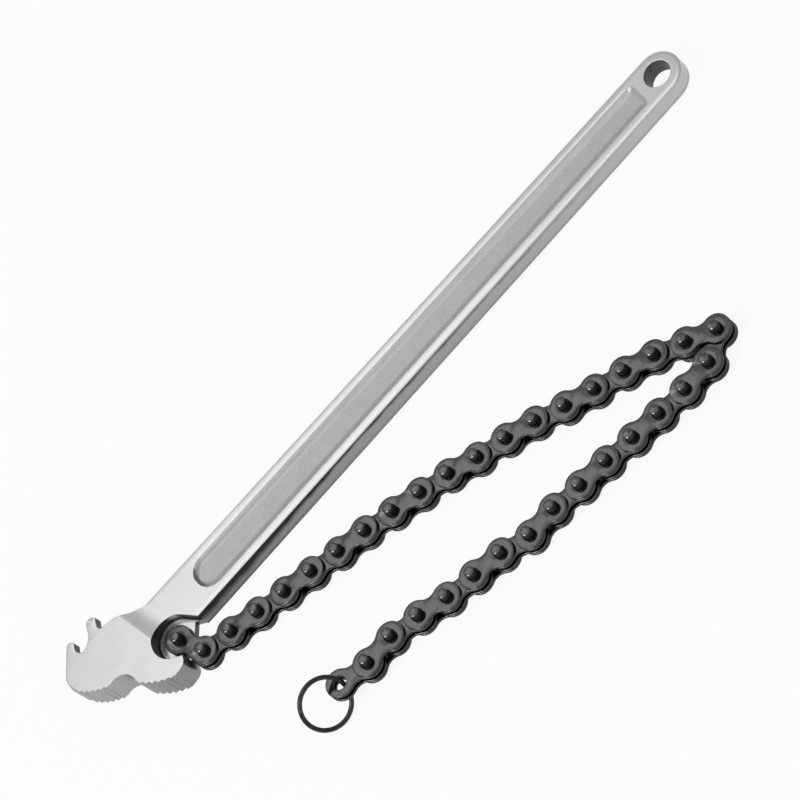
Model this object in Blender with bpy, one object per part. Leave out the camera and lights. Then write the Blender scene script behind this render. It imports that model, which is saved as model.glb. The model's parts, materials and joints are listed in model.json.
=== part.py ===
"""Chain wrench: a forged handle with a toothed jaw, a bushed chain with long pins, and an end ring.

Lengths are metres and angles degrees, +Z is up. The wrench lies flat, handle along X, and the chain
lies folded back on itself beside the handle. Each link hangs on the pin of the one before it.
"""
import math

import bmesh
import bpy
from mathutils import Euler, Matrix, Vector

# Edges that turn by more than this many degrees are drawn sharp
crease_angle = 25

# Chain: outer links carry two pins each, inner links turn on them
link_count = 34
chain_pitch = 0.015
chain_underside = 0.0009
plate_radius = 0.0068
plate_waist = 0.0086
plate_thickness = 0.0014
side_play = 0.00025
inner_gap = 0.0021
pin_diameter = 0.005
pin_reach = 0.0039
pin_foot = 0.0005
pin_chamfer = 0.0004
running_gap = 0.0002
bush_wall = 0.0009
pin_sides = 12
plate_arc_steps = 7
waist_steps = 3

# Direction of each link as the loose chain lies, read from the handle's axis
link_headings = (-70, -14, -14, -13, -13, -14, -12, -16, -16, -17, -22, -17,
                 -21, -25, -22, -20, -23, -30, -30, -147, -178, -186, -186, -188,
                 -185, -188, -179, -199, -190, -190, -197, -191, -176, -193)

# The leaning ring props up the last few links, each tipped a little more than the one before
propped_links = 4
link_tip = 1.2

# End ring: where its wire rests in the hole, which way it faces, and how far round it hangs
ring_diameter = 0.0251
ring_wire = 0.0022
ring_hole = 0.0066
ring_rest = Vector((-0.00076, -0.00006, -0.00043))
ring_turn = 119
ring_lean = 55.6
ring_hang = -101.2
ring_steps = 28
ring_wire_sides = 8

# Handle, x measured along it from the chain's anchor pin, y to its left
handle_thickness = 0.0098
handle_neck_width = 0.026
handle_end_radius = 0.0113
hang_hole_x = 0.323
hang_hole_diameter = 0.0129
handle_edge = 0.0012
handle_edge_steps = 2
end_arc_steps = 14
hole_steps = 24

# Panel sunk into both faces of the handle
panel_start_x = 0.0308
panel_end_x = 0.312
panel_rim = 0.0046
panel_depth = 0.0017
panel_corner = 0.0015
panel_arc_steps = 10
corner_steps = 3

# Head
head_thickness = 0.0147
anchor_y = -0.0115
web_play = 0.00065
lug_radius = 0.0071
lug_start = -120
lug_steps = 10
pocket_radius = 0.0107
pocket_steps = 14
hook_thickness = 0.0047
slope_run = 0.0056
tooth_count = 6
tooth_depth = 0.0009
jaw_bulge = 0.0014
groove_radius = 0.0078
groove_steps = 9
cut_overrun = 0.002

# Corners of the head's outline
shoulder_points = (Vector((-0.0012, 0.0131)), Vector((-0.004, 0.014)), Vector((-0.0069, 0.0149)),
                   Vector((-0.0097, 0.0165)), Vector((-0.0129, 0.0190)), Vector((-0.0172, 0.0204)),
                   Vector((-0.0205, 0.0207)))
near_hook_points = (Vector((-0.0221, 0.0211)), Vector((-0.0230, 0.0226)), Vector((-0.0216, 0.0259)),
                    Vector((-0.0206, 0.0272)), Vector((-0.0214, 0.0289)), Vector((-0.0232, 0.0297)),
                    Vector((-0.0248, 0.0296)), Vector((-0.0259, 0.0288)), Vector((-0.0269, 0.0272)),
                    Vector((-0.0276, 0.0251)), Vector((-0.0286, 0.0232)), Vector((-0.0303, 0.0214)),
                    Vector((-0.0325, 0.0200)))
far_hook_points = (Vector((-0.0345, 0.0196)), Vector((-0.0362, 0.0202)), Vector((-0.0373, 0.0219)),
                   Vector((-0.0368, 0.0243)), Vector((-0.0354, 0.0263)), Vector((-0.0359, 0.0281)),
                   Vector((-0.0372, 0.0289)), Vector((-0.0389, 0.0286)), Vector((-0.0408, 0.0265)))
heel_points = (Vector((-0.0486, 0.0168)), Vector((-0.0494, 0.0149)), Vector((-0.0498, 0.0117)),
               Vector((-0.0497, 0.0092)))
rear_teeth_start = Vector((-0.0487, 0.0071))
rear_teeth_end = Vector((-0.0359, -0.0048))
front_teeth_start = Vector((-0.0256, -0.0148))
front_teeth_end = Vector((-0.0112, -0.0279))
toe_points = (Vector((-0.0054, -0.0274)), Vector((-0.0032, -0.0257)), Vector((-0.0021, -0.0230)))
web_root = Vector((-0.0034, -0.0217))
web_corner = Vector((0.01105, -0.0097))
neck_corner = Vector((0.0140, -0.0129))
slope_line = (Vector((-0.0118, 0.0175)), Vector((-0.0078, -0.0045)))
chain_way_points = (Vector((-0.0095, 0.0200)), Vector((-0.0125, 0.0168)), Vector((-0.0180, 0.0152)),
                    Vector((-0.0340, 0.0146)), Vector((-0.0515, 0.0106)))
chain_way_reach = 0.024

# Finishes: colour, roughness and how metallic
finishes = {"forged_steel": ((0.62, 0.62, 0.63), 0.28, 1.0),
            "pin_link_steel": ((0.10, 0.10, 0.105), 0.30, 0.9),
            "cover_plate_steel": ((0.12, 0.12, 0.125), 0.28, 0.9),
            "inner_link_steel": ((0.09, 0.09, 0.095), 0.32, 0.9),
            "ring_steel": ((0.05, 0.05, 0.055), 0.40, 0.9)}


def clear_scene():
    """Empties the scene, so that the script can be run again."""
    for thing in list(bpy.data.objects):
        bpy.data.objects.remove(thing, do_unlink=True)


def material(name):
    """A plain Principled BSDF with one of the finishes."""
    colour, roughness, metallic = finishes[name]
    made = bpy.data.materials.new(name)
    made.use_nodes = True
    shader = made.node_tree.nodes["Principled BSDF"]
    shader.inputs["Base Color"].default_value = (*colour, 1)
    shader.inputs["Roughness"].default_value = roughness
    shader.inputs["Metallic"].default_value = metallic
    return made


def arc(centre, radius, start, end, steps):
    """Points on an arc between two angles in degrees, both ends included."""
    angles = [math.radians(start + (end - start) * step / steps) for step in range(steps + 1)]
    return [centre + radius * Vector((math.cos(angle), math.sin(angle))) for angle in angles]


def circle(centre, radius, sides):
    """Corners of a regular polygon, without repeating the first."""
    return arc(centre, radius, 0, 360, sides)[:-1]


def round_the_flats(radius, sides):
    """Corner radius of a polygon whose flat sides lie at the given radius."""
    return radius / math.cos(math.pi / sides)


def sheet(mesh, loops, height):
    """Fills the flat region inside the first loop and outside the others."""
    edges = []
    for loop in loops:
        corners = [mesh.verts.new((*point, height)) for point in loop]
        edges += [mesh.edges.new((corners[i - 1], corners[i])) for i in range(len(corners))]
    bmesh.ops.triangle_fill(mesh, use_beauty=True, use_dissolve=False, edges=edges)


def wall(mesh, loop, low, high, top_loop=None):
    """Joins a loop at one height to the same loop, or a narrower one, at another."""
    feet = [mesh.verts.new((*point, low)) for point in loop]
    heads = [mesh.verts.new((*point, high)) for point in (top_loop or loop)]
    for i in range(len(feet)):
        mesh.faces.new((feet[i - 1], feet[i], heads[i], heads[i - 1]))


def finish_mesh(mesh, name):
    """Joins the sheets and walls into one closed shell with smooth round sides."""
    weld = min(running_gap, side_play) / 100
    bmesh.ops.remove_doubles(mesh, verts=mesh.verts, dist=weld)
    bmesh.ops.recalc_face_normals(mesh, faces=mesh.faces)
    data = bpy.data.meshes.new(name)
    mesh.to_mesh(data)
    mesh.free()
    data.shade_smooth()
    data.set_sharp_from_angle(angle=math.radians(crease_angle))
    return data


def prism(name, loops, low, high):
    """A straight-sided solid: the first loop is its outline and the others are holes."""
    mesh = bmesh.new()
    sheet(mesh, loops, low)
    sheet(mesh, loops, high)
    for loop in loops:
        wall(mesh, loop, low, high)
    return finish_mesh(mesh, name)


def add_piece(name, data, parent, place=None):
    """Adds a mesh as an object of the model."""
    piece = bpy.data.objects.new(name, data)
    bpy.context.scene.collection.objects.link(piece)
    piece.parent = parent
    if place:
        piece.matrix_local = place
    return piece


def add_frame(name, parent, place, turn=0, tip=0):
    """Adds an empty that carries a moving piece, on the axis that it turns about."""
    frame = bpy.data.objects.new(name, None)
    bpy.context.scene.collection.objects.link(frame)
    frame.empty_display_size = plate_radius
    frame.parent = parent
    frame.location = place
    frame.rotation_euler = Euler((0, math.radians(-tip), math.radians(turn)))
    return frame


# Heights of the chain's layers above the back face of the head
def chain_levels():
    """Heights of the plates' faces, from the underside up."""
    lower_outer = chain_underside + pin_foot
    lower_inner = lower_outer + plate_thickness + side_play
    gap_floor = lower_inner + plate_thickness
    gap_roof = gap_floor + inner_gap
    upper_outer = gap_roof + plate_thickness + side_play
    top = upper_outer + plate_thickness
    return {"lower_outer": lower_outer, "lower_inner": lower_inner, "gap_floor": gap_floor,
            "gap_roof": gap_roof, "upper_outer": upper_outer, "top": top}


def chain_middle():
    """Height of the chain's middle plane above the back face of the head."""
    levels = chain_levels()
    return (levels["gap_floor"] + levels["gap_roof"]) / 2


def link_levels():
    """The same heights, measured from the chain's middle plane."""
    middle = chain_middle()
    return {name: height - middle for name, height in chain_levels().items()}


# Chain
def plate_outline():
    """A link plate: two round ends joined by hollow flanks."""
    half = chain_pitch / 2
    waist = plate_waist / 2
    flank_radius = (half ** 2 + waist ** 2 - plate_radius ** 2) / (2 * (plate_radius - waist))
    flank_centre = flank_radius + waist
    lean = math.degrees(math.atan2(flank_centre, half))
    left_end = arc(Vector((0, 0)), plate_radius, lean, 360 - lean, plate_arc_steps)
    right_end = arc(Vector((chain_pitch, 0)), plate_radius, lean - 180, 180 - lean, plate_arc_steps)
    lower = arc(Vector((half, -flank_centre)), flank_radius, 180 - lean, lean, waist_steps)[1:-1]
    upper = arc(Vector((half, flank_centre)), flank_radius, -lean, lean - 180, waist_steps)[1:-1]
    return left_end + lower + right_end + upper


def link_rounds(radius, sides):
    """The same circle around both ends of a link."""
    return [circle(Vector((0, 0)), radius, sides), circle(Vector((chain_pitch, 0)), radius, sides)]


def bore_radius():
    """Corner radius of a hole that turns on a pin."""
    return round_the_flats(pin_diameter / 2 + running_gap, pin_sides)


def pin_link_mesh():
    """The lower outer plate with the link's two pins riveted into it."""
    levels = link_levels()
    outline = plate_outline()
    pins = link_rounds(pin_diameter / 2, pin_sides)
    tips = link_rounds(pin_diameter / 2 - pin_chamfer, pin_sides)
    floor = levels["lower_outer"]
    roof = floor + plate_thickness
    tip = levels["top"] + pin_reach
    mesh = bmesh.new()
    sheet(mesh, [outline] + pins, floor)
    sheet(mesh, [outline] + pins, roof)
    wall(mesh, outline, floor, roof)
    for pin, top in zip(pins, tips):
        sheet(mesh, [pin], floor - pin_foot)
        wall(mesh, pin, floor - pin_foot, floor)
        wall(mesh, pin, roof, tip - pin_chamfer)
        wall(mesh, pin, tip - pin_chamfer, tip, top)
        sheet(mesh, [top], tip)
    return finish_mesh(mesh, "pin_link")


def cover_plate_mesh():
    """The upper outer plate, pressed over the two pins."""
    levels = link_levels()
    loops = [plate_outline()] + link_rounds(bore_radius(), pin_sides)
    return prism("cover_plate", loops, levels["upper_outer"], levels["top"])


def inner_link_mesh(name, end_hole=None):
    """Two inner plates joined by their bushes. The last link has a ring hole in place of a bush."""
    levels = link_levels()
    outline = plate_outline()
    bores = link_rounds(bore_radius(), pin_sides)
    bushes = link_rounds(bore_radius() + bush_wall, pin_sides)
    if end_hole:
        eye = round_the_flats(end_hole / 2, pin_sides)
        bores[1] = circle(Vector((chain_pitch, 0)), eye, pin_sides)
        bushes[1] = bores[1]
    floor = levels["lower_inner"]
    roof = levels["gap_roof"] + plate_thickness
    mesh = bmesh.new()
    sheet(mesh, [outline] + bores, floor)
    sheet(mesh, [outline] + bores, roof)
    for low, high in ((floor, levels["gap_floor"]), (levels["gap_roof"], roof)):
        wall(mesh, outline, low, high)
    for height in (levels["gap_floor"], levels["gap_roof"]):
        sheet(mesh, [outline] + bushes, height)
    wall(mesh, bores[0], floor, roof)
    wall(mesh, bushes[0], levels["gap_floor"], levels["gap_roof"])
    if end_hole:
        wall(mesh, bores[1], floor, levels["gap_floor"])
        wall(mesh, bores[1], levels["gap_roof"], roof)
    else:
        wall(mesh, bores[1], floor, roof)
        wall(mesh, bushes[1], levels["gap_floor"], levels["gap_roof"])
    return finish_mesh(mesh, name)


def make_chain(wrench):
    """Lays the links one after another, each on the far pin of the one before."""
    pin_link = pin_link_mesh()
    pin_link.materials.append(material("pin_link_steel"))
    cover = cover_plate_mesh()
    cover.materials.append(material("cover_plate_steel"))
    inner = inner_link_mesh("inner_link")
    last_inner = inner_link_mesh("last_inner_link", ring_hole)
    inner.materials.append(material("inner_link_steel"))
    last_inner.materials.append(inner.materials[0])
    parent = wrench
    place = Vector((0, anchor_y, chain_middle()))
    before = 0
    for number, heading in enumerate(link_headings[:link_count], start=1):
        tip = link_tip if number > link_count - propped_links else 0
        frame = add_frame(f"link_{number:02d}", parent, place, heading - before, tip)
        if number % 2:
            add_piece(f"pin_link_{number:02d}", pin_link, frame)
            add_piece(f"cover_plate_{number:02d}", cover, frame)
        else:
            data = last_inner if number == link_count else inner
            add_piece(f"inner_link_{number:02d}", data, frame)
        parent = frame
        place = Vector((chain_pitch, 0, 0))
        before = heading
    return parent


def make_ring(last_link):
    """The round ring through the hole at the chain's free end."""
    frame = add_frame("ring", last_link, Vector((chain_pitch, 0, 0)))
    middle_radius = (ring_diameter - ring_wire) / 2
    mesh = bmesh.new()
    hoops = []
    for point in circle(Vector((0, 0)), middle_radius, ring_steps):
        outward = point.normalized()
        hoops.append([mesh.verts.new((*(point + offset.x * outward), offset.y))
                      for offset in circle(Vector((0, 0)), ring_wire / 2, ring_wire_sides)])
    for here, there in zip(hoops, hoops[1:] + hoops[:1]):
        for i in range(ring_wire_sides):
            mesh.faces.new((here[i - 1], here[i], there[i], there[i - 1]))
    data = finish_mesh(mesh, "end_ring")
    data.materials.append(material("ring_steel"))
    turn = Matrix.Rotation(math.radians(ring_turn), 4, "Z")
    lean = Matrix.Rotation(math.radians(ring_lean), 4, "Y")
    hang = Matrix.Rotation(math.radians(ring_hang), 4, "Z")
    drop = Matrix.Translation(Vector((middle_radius, 0, 0)))
    place = Matrix.Translation(ring_rest) @ turn @ lean @ hang @ drop
    add_piece("end_ring", data, frame, place)


# Handle and head
def handle_half_width(x):
    """Half the handle's width at a distance along it: it narrows evenly to the round end."""
    share = x / hang_hole_x
    return handle_neck_width / 2 * (1 - share) + handle_end_radius * share


def shank_outline():
    """The handle in plan, from inside the head to its round end."""
    end = Vector((hang_hole_x, 0))
    root = shoulder_points[3]
    inner = Vector((root.x, slope_line[1].y))
    inside = Vector((web_root.x, pocket_radius + anchor_y))
    outline = [inner, inside, Vector((neck_corner.x, -handle_half_width(neck_corner.x)))]
    outline += arc(end, handle_end_radius, -90, 90, end_arc_steps)
    outline += [shoulder_points[0], shoulder_points[1], shoulder_points[2], root]
    return outline


def toothed_arc(start, end, count):
    """A run of teeth along a slightly bulging edge: valleys and tips in turn."""
    run = end - start
    out = Vector((run.y, -run.x)).normalized()
    points = []
    for step in range(2 * count + 1):
        share = step / (2 * count)
        bulge = jaw_bulge * (1 - (2 * share - 1) ** 2)
        depth = 0 if step % 2 else tooth_depth
        points.append(start + run * share + out * (bulge - depth))
    return points


def pipe_groove():
    """The round groove between the two rows of teeth."""
    chord = front_teeth_start - rear_teeth_end
    middle = (rear_teeth_end + front_teeth_start) / 2
    out = Vector((chord.y, -chord.x)).normalized()
    inset = math.sqrt(groove_radius ** 2 - (chord.length / 2) ** 2)
    centre = middle + out * inset
    first = math.degrees(math.atan2(*(rear_teeth_end - centre).yx))
    last = math.degrees(math.atan2(*(front_teeth_start - centre).yx))
    return arc(centre, groove_radius, first, last, groove_steps)[1:-1]


def anchor():
    """Axis of the chain's first pin."""
    return Vector((0, anchor_y))


def web_edge():
    """The thin web around the first pin: its root, its round lug and its straight front edge."""
    front = web_corner - anchor()
    reach = math.degrees(math.acos(lug_radius / front.length))
    first = math.degrees(math.atan2(front.y, front.x)) - reach
    return [web_root] + arc(anchor(), lug_radius, lug_start, first, lug_steps) + [web_corner]


def head_outline():
    """The head in plan, with its hooks, heel, teeth, groove, toe and web."""
    outline = [neck_corner, Vector((neck_corner.x, 0)), shoulder_points[0]]
    outline += list(shoulder_points[1:]) + list(near_hook_points) + list(far_hook_points)
    outline += list(heel_points)
    outline += toothed_arc(rear_teeth_start, rear_teeth_end, tooth_count)
    outline += pipe_groove()
    outline += toothed_arc(front_teeth_start, front_teeth_end, tooth_count)
    outline += list(toe_points) + web_edge()
    return outline


def pocket_outline():
    """The room for the first link: round behind the pin, open in front of it."""
    centre = anchor()
    above = neck_corner - centre
    upper = math.degrees(math.atan2(above.y, above.x))
    upper += math.degrees(math.acos(pocket_radius / above.length))
    below = toe_points[-1] - centre
    lower = math.degrees(math.atan2(below.y, below.x)) % 360
    lower -= math.degrees(math.acos(min(1, pocket_radius / below.length)))
    bend = arc(centre, pocket_radius, upper, lower, pocket_steps)
    upper_run = (neck_corner - bend[0]).normalized()
    lower_run = (toe_points[-1] - bend[-1]).normalized()
    upper_exit = neck_corner + upper_run * pocket_radius
    lower_exit = toe_points[-1] + lower_run * pocket_radius
    return [upper_exit] + bend + [lower_exit]


def panel_outline():
    """The sunk panel: round at the head and square, with small corners, at the far end."""
    start = handle_half_width(panel_start_x) - panel_rim
    end = handle_half_width(panel_end_x) - panel_rim
    near = arc(Vector((panel_start_x, 0)), start, 90, 270, panel_arc_steps)
    inset = end - panel_corner
    lower = arc(Vector((panel_end_x - panel_corner, -inset)), panel_corner, -90, 0, corner_steps)
    upper = arc(Vector((panel_end_x - panel_corner, inset)), panel_corner, 0, 90, corner_steps)
    return near + lower + upper


def cutter(name, data, parent):
    """A shape that only cuts others and is never shown."""
    made = bpy.data.objects.new(name, data)
    bpy.context.scene.collection.objects.link(made)
    made.parent = parent
    made.hide_render = True
    made.display_type = "WIRE"
    return made


def boolean(piece, other, operation):
    """Adds or cuts one solid with another."""
    step = piece.modifiers.new(other.name, "BOOLEAN")
    step.operation = operation
    step.solver = "EXACT"
    step.object = other


def settle_cuts(piece, tools):
    """Turns the cut shape into a plain mesh, smooth along its curves and crisp at its corners."""
    bpy.context.view_layer.update()
    seen = piece.evaluated_get(bpy.context.evaluated_depsgraph_get())
    shape = bpy.data.meshes.new_from_object(seen)
    piece.modifiers.clear()
    piece.data = shape
    shape.shade_smooth()
    shape.set_sharp_from_angle(angle=math.radians(crease_angle))
    for tool in tools:
        bpy.data.objects.remove(tool, do_unlink=True)


def shank_mesh():
    """The handle's bar with eased long edges."""
    low = (head_thickness - handle_thickness) / 2
    outline = shank_outline()
    mesh = bmesh.new()
    sheet(mesh, [outline], low)
    sheet(mesh, [outline], low + handle_thickness)
    wall(mesh, outline, low, low + handle_thickness)
    bmesh.ops.remove_doubles(mesh, verts=mesh.verts, dist=handle_edge / 100)
    bmesh.ops.recalc_face_normals(mesh, faces=mesh.faces)
    rims = [edge for edge in mesh.edges if edge.calc_face_angle(0) > 1
            and abs(edge.verts[0].co.z - edge.verts[1].co.z) < handle_edge / 100]
    bmesh.ops.bevel(mesh, geom=rims, offset=handle_edge, segments=handle_edge_steps,
                    affect="EDGES", profile=0.5, clamp_overlap=True)
    return finish_mesh(mesh, "shank")


def slope_mesh(name, upward):
    """Wedge that slopes one face of the head down to the handle."""
    first, last = slope_line
    along = (first - last).normalized()
    ahead = Vector((along.y, -along.x))
    first = first + along * head_thickness
    last = last - along * head_thickness
    step = (head_thickness - handle_thickness) / 2
    drop = step * (1 + cut_overrun / slope_run)
    face = head_thickness if upward else 0
    sign = -1 if upward else 1
    beyond = face - sign * cut_overrun
    far = slope_run + cut_overrun
    profile = ((0, face), (far, face + sign * drop), (hang_hole_x, face + sign * drop),
               (hang_hole_x, beyond), (0, beyond))
    mesh = bmesh.new()
    ends = []
    for root in (last, first):
        corners = [mesh.verts.new((*(root + ahead * reach), height)) for reach, height in profile]
        mesh.faces.new(corners)
        ends.append(corners)
    for i in range(len(profile)):
        mesh.faces.new((ends[0][i - 1], ends[0][i], ends[1][i], ends[1][i - 1]))
    return finish_mesh(mesh, name)


def make_handle(wrench):
    """The one-piece forging: head, hooks, jaw, web, neck and handle."""
    levels = chain_levels()
    low = -cut_overrun
    high = head_thickness + cut_overrun
    handle = add_piece("handle", prism("handle", [head_outline()], 0, head_thickness), wrench)
    tools = []
    for name, upward in (("upper_slope", True), ("lower_slope", False)):
        tools.append(cutter(name, slope_mesh(name, upward), wrench))
        boolean(handle, tools[-1], "DIFFERENCE")
    tools.append(cutter("shank", shank_mesh(), wrench))
    boolean(handle, tools[-1], "UNION")
    web_floor = levels["lower_inner"] + web_play
    web_roof = levels["gap_roof"] + plate_thickness - web_play
    hook_floor = head_thickness - hook_thickness
    way = list(chain_way_points)
    way += [way[-1] + Vector((0, chain_way_reach)), way[0] + Vector((0, chain_way_reach))]
    panel_low = (head_thickness - handle_thickness) / 2 + panel_depth
    panel_high = head_thickness - panel_low
    hang = circle(Vector((hang_hole_x, 0)), hang_hole_diameter / 2, hole_steps)
    bore = circle(anchor(), bore_radius(), pin_sides)
    cuts = (("upper_pocket", pocket_outline(), web_roof, high),
            ("lower_pocket", pocket_outline(), low, web_floor),
            ("chain_way", way, low, hook_floor),
            ("upper_panel", panel_outline(), panel_high, high),
            ("lower_panel", panel_outline(), low, panel_low),
            ("hang_hole", hang, low, high),
            ("anchor_bore", bore, low, high))
    for name, outline, floor, roof in cuts:
        tools.append(cutter(name, prism(name, [outline], floor, roof), wrench))
        boolean(handle, tools[-1], "DIFFERENCE")
    settle_cuts(handle, tools)
    handle.data.materials.clear()
    handle.data.materials.append(material("forged_steel"))


def centre_on_floor(wrench, pieces):
    """Moves the wrench so that the origin is the middle of the rectangle it covers, on the floor."""
    bpy.context.view_layer.update()
    depsgraph = bpy.context.evaluated_depsgraph_get()
    corners = []
    for piece in pieces:
        seen = piece.evaluated_get(depsgraph)
        corners += [seen.matrix_world @ vertex.co for vertex in seen.to_mesh().vertices]
        seen.to_mesh_clear()
    lowest = Vector([min(corner[axis] for corner in corners) for axis in range(3)])
    highest = Vector([max(corner[axis] for corner in corners) for axis in range(3)])
    middle = (lowest + highest) / 2
    wrench.location = -Vector((middle.x, middle.y, lowest.z))


def main():
    """Builds the wrench."""
    clear_scene()
    wrench = add_frame("wrench", None, Vector((0, 0, 0)))
    make_handle(wrench)
    make_ring(make_chain(wrench))
    shown = [thing for thing in bpy.data.objects if thing.type == "MESH" and not thing.hide_render]
    centre_on_floor(wrench, shown)


main()
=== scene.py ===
"""Looks of the chain wrench: a polished forging, an oiled black chain and a wire ring in a pale studio.

Lengths are metres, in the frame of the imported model. Each link is modelled once, along +X from its
near pin, and then laid between its own two joints.
"""
import json
import math

import bmesh
import bpy
from mathutils import Matrix, Vector


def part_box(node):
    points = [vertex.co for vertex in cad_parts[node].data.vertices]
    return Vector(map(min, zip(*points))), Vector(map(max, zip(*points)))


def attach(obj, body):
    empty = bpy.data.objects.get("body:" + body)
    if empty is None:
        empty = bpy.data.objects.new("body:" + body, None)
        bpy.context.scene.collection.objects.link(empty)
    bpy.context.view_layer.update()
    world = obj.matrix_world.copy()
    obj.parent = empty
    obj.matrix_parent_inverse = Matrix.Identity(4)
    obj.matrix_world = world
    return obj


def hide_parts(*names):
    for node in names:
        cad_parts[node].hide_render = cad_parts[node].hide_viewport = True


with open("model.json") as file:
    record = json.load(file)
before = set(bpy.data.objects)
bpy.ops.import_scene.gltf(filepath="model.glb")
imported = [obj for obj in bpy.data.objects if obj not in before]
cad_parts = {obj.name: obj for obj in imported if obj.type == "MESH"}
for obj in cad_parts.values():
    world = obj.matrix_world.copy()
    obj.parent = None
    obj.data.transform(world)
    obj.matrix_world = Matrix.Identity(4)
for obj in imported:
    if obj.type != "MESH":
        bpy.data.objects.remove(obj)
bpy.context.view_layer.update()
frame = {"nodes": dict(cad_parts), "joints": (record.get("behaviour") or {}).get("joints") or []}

# Links
link_count = 34
plate_radius = 0.00677
plate_waist = 0.0086
plate_edge = 0.00035
pin_radius = 0.0025
pin_chamfer = 0.0004
pin_tip_shares = ((1.2, 0), (0.9, 0.05), (0.1, 0.95), (0, 1.3))
bush_radius = 0.0036
hole_radius = 0.0027
hole_edge = 0.00025
ring_hole_radius = 0.00315
end_steps = 26
flank_steps = 9
round_sides = 40
edge_steps = 3
side_tilt = 0.6
rim_tilt = 0.93
plate_crease = 38
link_weld = 0.00000035

# Ring
ring_diameter = 0.0251
ring_wire = 0.0022
ring_steps = 120
wire_sides = 20
ring_point_step = 7

# Handle: thicknesses, and how widely its edges are rounded
head_thickness = 0.0147
bar_thickness = 0.0098
neck_width = 0.026
end_radius = 0.0113
hang_hole_x = 0.323
hang_hole_radius = 0.00645
hook_edge = 0.0006
toe_edge = 0.0004
tooth_edge = 0.00012
bar_edge_near = 0.0011
bar_edge_far = 0.0032
bar_edge_turns = (48, 87)
crown_width = 0.0018
crown_drop = 0.00004
crown_steps = 3
hole_rim = 0.0004
pocket_fillet = Vector((0.0012, 0.0009))
pocket_rim = Vector((0.0003, 0.0003))
bar_overlap = 0.00004
cut_overrun = 0.002
solid_weld = 0.0000012
miter_limit = 0.5
wall_tilt = 0.35
bar_wall_tilt = 0.62
flat_tilt = 0.98
steep_tilt = 0.85
handle_crease = 26
bar_edge_steps = 6
bar_end_steps = 28
corner_steps = 6
recess_steps = 5
hang_steps = 56

# Bar's sides: how far along the handle the painted lightening runs, and how far along and how high the
# painted dark reflection and the painted contact shadow reach
flank_light_run = (0.03, 0.32)
dark_reflection_run = (0.12, 0.3)
dark_reflection_foot_run = (0.03, 0.11)
dark_reflection_foot = (0.0045, 0.0094)
dark_reflection_fade = (0.0045, 0.0018)
dark_reflection_waves = 0.0016
contact_shadow_run = (0.02, 0.14)
contact_shadow_heights = (0.0026, 0.0056)
contact_shadow_shares = (0.85, 0.45)
dark_reflection_colour = (0.016, 0.016, 0.017)
contact_shadow_colour = (0.03, 0.03, 0.031)

# Sunk panel
panel_start_x = 0.0318
panel_end_x = 0.3105
panel_rim = 0.0052
panel_depth = 0.0017
panel_corner = 0.0018
panel_near_slope = 0.0009
panel_side_slope = 0.0018
panel_far_slope = 0.0021
panel_slope_steps = 10
inner_slope_share = 1.3
outer_slope_share = 0.75
side_share = 0.7
fold_share = 0.5
# Painted shade on the panel's floor next to its rear wall: how high it reaches, where along the bar it
# fades, its strongest share, its shares along that run, and its colour
panel_shade_height = 0.0004
panel_shade_run = (0.06, 0.26)
panel_shade_share = 0.5
panel_shade_run_shares = (1, 0.1)
panel_shade_colour = (0.2, 0.2, 0.2)

# Head
anchor_y = -0.0115
web_play = 0.00065
lug_radius = 0.0071
lug_start = -120
lug_steps = 28
pocket_radius = 0.0107
pocket_steps = 36
hook_thickness = 0.0047
slope_run = 0.0138
slope_power = 2.1
slope_crest = 0.0012
slope_steps = 24
tooth_count = 6
tooth_depth = 0.0009
jaw_bulge = 0.0014
groove_radius = 0.0078
groove_steps = 24
corner_cut = 0.25
outline_rounds = 3
# How the milled walls darken towards the toe: where along the head, by how much, and to what colour
toe_darkening_run = (-0.035, -0.014)
toe_darkening_shares = (0.05, 0.45)
toe_darkening_colour = (0.1, 0.1, 0.1)

# Corners of the head's outline and of its cuts, measured from the middle of the handle at the first pin
shoulder_points = (Vector((-0.0012, 0.0131)), Vector((-0.004, 0.014)), Vector((-0.0069, 0.0149)),
                   Vector((-0.0097, 0.0165)), Vector((-0.0129, 0.0190)), Vector((-0.0172, 0.0204)),
                   Vector((-0.0205, 0.0207)))
hook_points = (Vector((-0.0221, 0.0211)), Vector((-0.0230, 0.0226)), Vector((-0.0216, 0.0259)),
               Vector((-0.0206, 0.0272)), Vector((-0.0214, 0.0289)), Vector((-0.0232, 0.0297)),
               Vector((-0.0248, 0.0296)), Vector((-0.0259, 0.0288)), Vector((-0.0269, 0.0272)),
               Vector((-0.0276, 0.0251)), Vector((-0.0286, 0.0232)), Vector((-0.0303, 0.0214)),
               Vector((-0.0325, 0.0200)), Vector((-0.0345, 0.0196)), Vector((-0.0362, 0.0202)),
               Vector((-0.0373, 0.0219)), Vector((-0.0368, 0.0243)), Vector((-0.0354, 0.0263)),
               Vector((-0.0359, 0.0281)), Vector((-0.0372, 0.0289)), Vector((-0.0389, 0.0286)),
               Vector((-0.0408, 0.0265)))
heel_points = (Vector((-0.0486, 0.0168)), Vector((-0.0494, 0.0149)), Vector((-0.0498, 0.0117)),
               Vector((-0.0497, 0.0092)))
rear_teeth = (Vector((-0.0487, 0.0071)), Vector((-0.0359, -0.0048)))
front_teeth = (Vector((-0.0256, -0.0148)), Vector((-0.0112, -0.0279)))
toe_points = (Vector((-0.0054, -0.0274)), Vector((-0.0032, -0.0257)), Vector((-0.0021, -0.0230)))
web_root = Vector((-0.0034, -0.0217))
web_corner = Vector((0.01105, -0.0097))
neck_corner = Vector((0.0140, -0.0129))
slope_line = (Vector((-0.0118, 0.0175)), Vector((-0.0078, -0.0045)))
chain_way = (Vector((-0.0095, 0.0200)), Vector((-0.0125, 0.0168)), Vector((-0.0180, 0.0152)),
             Vector((-0.0340, 0.0146)), Vector((-0.0515, 0.0106)))
chain_way_reach = 0.024

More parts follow.
